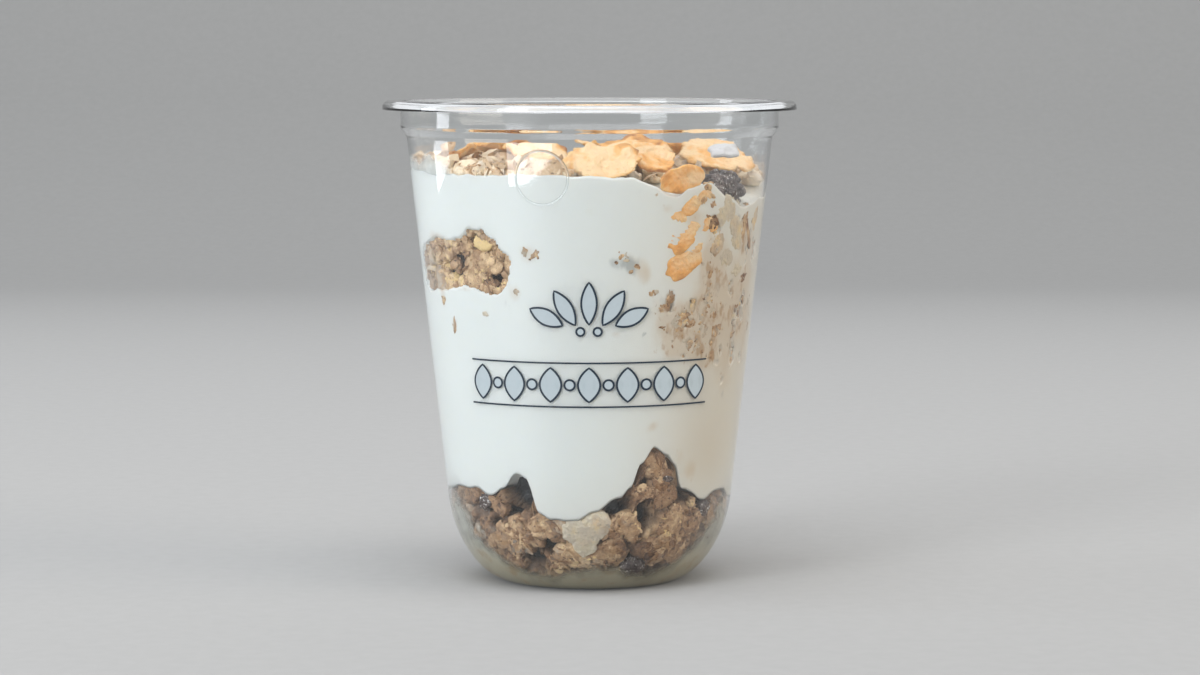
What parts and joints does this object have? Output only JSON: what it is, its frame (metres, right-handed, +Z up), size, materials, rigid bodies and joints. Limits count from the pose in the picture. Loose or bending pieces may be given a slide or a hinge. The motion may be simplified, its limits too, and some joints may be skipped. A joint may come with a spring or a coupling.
{
  "type": "yogurt parfait in a clear cup",
  "caption": "Parfait of plain yogurt over granola, topped with granola, cornflakes, a raisin and coconut chips, in a clear round-bottomed plastic cup with a flat rim.",
  "frame": {"origin": "middle of the cup's foot, on the surface it stands on", "axes": "+Z up along the cup's axis, -Y towards the side that faces the viewer, +X to the viewer's right"},
  "size_m": [0.095, 0.095, 0.11],
  "materials": {
    "cup": "clear glossy thin plastic",
    "yogurt": "smooth moist cultured milk",
    "granola": "rough toasted oat clusters",
    "cornflake": "dry toasted flake with blisters",
    "raisin": "wrinkled dark skin",
    "coconut": "pale dry shaving"
  },
  "bodies": {
    "root": {"coconut_chip_01": "coconut", "coconut_chip_02": "coconut", "cornflake_01": "cornflake", "cornflake_02": "cornflake", "cornflake_03": "cornflake", "cornflake_04": "cornflake", "cornflake_05": "cornflake", "cornflake_06": "cornflake", "cornflake_07": "cornflake", "cornflake_08": "cornflake", "cornflake_09": "cornflake", "cornflake_10": "cornflake", "cup": "cup", "granola_base": "granola", "granola_left": "granola", "granola_right": "granola", "granola_top": "granola", "granola_upper": "granola", "raisin_01": "raisin", "side_flake_01": "cornflake", "side_flake_02": "cornflake", "side_flake_03": "cornflake", "yogurt": "yogurt"}
  },
  "joints": []
}
